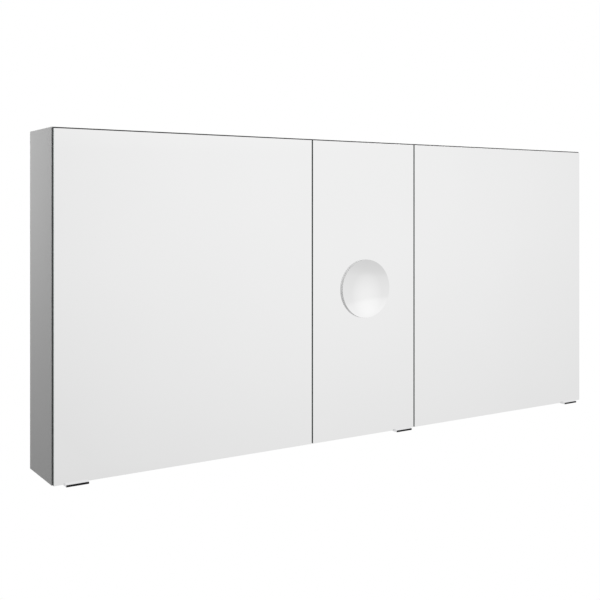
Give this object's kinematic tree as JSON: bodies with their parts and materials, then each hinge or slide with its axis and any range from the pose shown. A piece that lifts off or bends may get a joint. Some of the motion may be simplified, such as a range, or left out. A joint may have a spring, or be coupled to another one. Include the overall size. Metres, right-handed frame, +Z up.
{
  "type": "mirror cabinet",
  "caption": "Wall-hung bathroom mirror cabinet with hinged frameless mirror doors, clip pulls, glass shelves and a round concave magnifying mirror on the middle door.",
  "frame": {"origin": "middle of the cabinet's back, on the wall plane", "axes": "+X to the right as seen from the front, +Y into the wall, +Z up"},
  "size_m": [1.5, 0.1643, 0.7015],
  "materials": {
    "grey_lacquer": "satin lacquer",
    "beech_dowel": "bare",
    "nickel_steel": "zinc plated",
    "nickel_hinge": "nickel plated",
    "clear_buffer": "satin",
    "shelf_glass": "clear, polished edge",
    "mirror_glass": "silvered glass",
    "door_core": "matt compact board",
    "chrome_pull": "polished chrome",
    "dark_strip": "matt",
    "magnifier_rim": "satin chrome",
    "glue_pad": "foam tape"
  },
  "bodies": {
    "carcass": {"left_side_panel": "grey_lacquer", "right_side_panel": "grey_lacquer", "top_panel": "grey_lacquer", "bottom_panel": "grey_lacquer", "left_partition": "grey_lacquer", "right_partition": "grey_lacquer", "back_panel": "grey_lacquer", "carcass_edge_bands": "grey_lacquer", "carcass_dowels": "beech_dowel", "wall_plates": "nickel_steel", "shelf_supports": "nickel_steel", "hinge_pins": "nickel_steel", "hinge_base_screws": "nickel_steel", "door_bumpers": "clear_buffer", "left_upper_shelf": "shelf_glass", "left_lower_shelf": "shelf_glass", "middle_upper_shelf": "shelf_glass", "middle_lower_shelf": "shelf_glass", "right_upper_shelf": "shelf_glass", "right_lower_shelf": "shelf_glass", "left_upper_hinge_arm": "nickel_hinge", "left_upper_hinge_base": "nickel_hinge", "left_lower_hinge_arm": "nickel_hinge", "left_lower_hinge_base": "nickel_hinge", "middle_upper_hinge_arm": "nickel_hinge", "middle_upper_hinge_base": "nickel_hinge", "middle_lower_hinge_arm": "nickel_hinge", "middle_lower_hinge_base": "nickel_hinge", "right_upper_hinge_arm": "nickel_hinge", "right_upper_hinge_base": "nickel_hinge", "right_lower_hinge_arm": "nickel_hinge", "right_lower_hinge_base": "nickel_hinge"},
    "left_door": {"left_front_mirror": "mirror_glass", "left_rear_mirror": "mirror_glass", "left_door_core": "door_core", "left_pull": "chrome_pull", "left_pull_strip": "dark_strip", "left_door_screws": "nickel_steel", "left_upper_hinge_cup": "nickel_hinge", "left_lower_hinge_cup": "nickel_hinge"},
    "middle_door": {"middle_front_mirror": "mirror_glass", "middle_rear_mirror": "mirror_glass", "middle_door_core": "door_core", "middle_pull": "chrome_pull", "middle_pull_strip": "dark_strip", "middle_door_screws": "nickel_steel", "middle_upper_hinge_cup": "nickel_hinge", "middle_lower_hinge_cup": "nickel_hinge", "magnifier_glass": "mirror_glass", "magnifier_housing": "magnifier_rim", "magnifier_pad": "glue_pad"},
    "right_door": {"right_front_mirror": "mirror_glass", "right_rear_mirror": "mirror_glass", "right_door_core": "door_core", "right_pull": "chrome_pull", "right_pull_strip": "dark_strip", "right_door_screws": "nickel_steel", "right_upper_hinge_cup": "nickel_hinge", "right_lower_hinge_cup": "nickel_hinge"}
  },
  "joints": [
    {"name": "left_door_hinge", "type": "hinge", "parent": "carcass", "child": "left_door", "pos_m": [-0.1577, -0.1518, 0], "axis": [0, 0, 1], "range_deg": [0, 86]},
    {"name": "middle_door_hinge", "type": "hinge", "parent": "carcass", "child": "middle_door", "pos_m": [-0.1423, -0.1518, 0], "axis": [0, 0, -1], "range_deg": [0, 86]},
    {"name": "right_door_hinge", "type": "hinge", "parent": "carcass", "child": "right_door", "pos_m": [0.1577, -0.1518, 0], "axis": [0, 0, -1], "range_deg": [0, 95]}
  ]
}
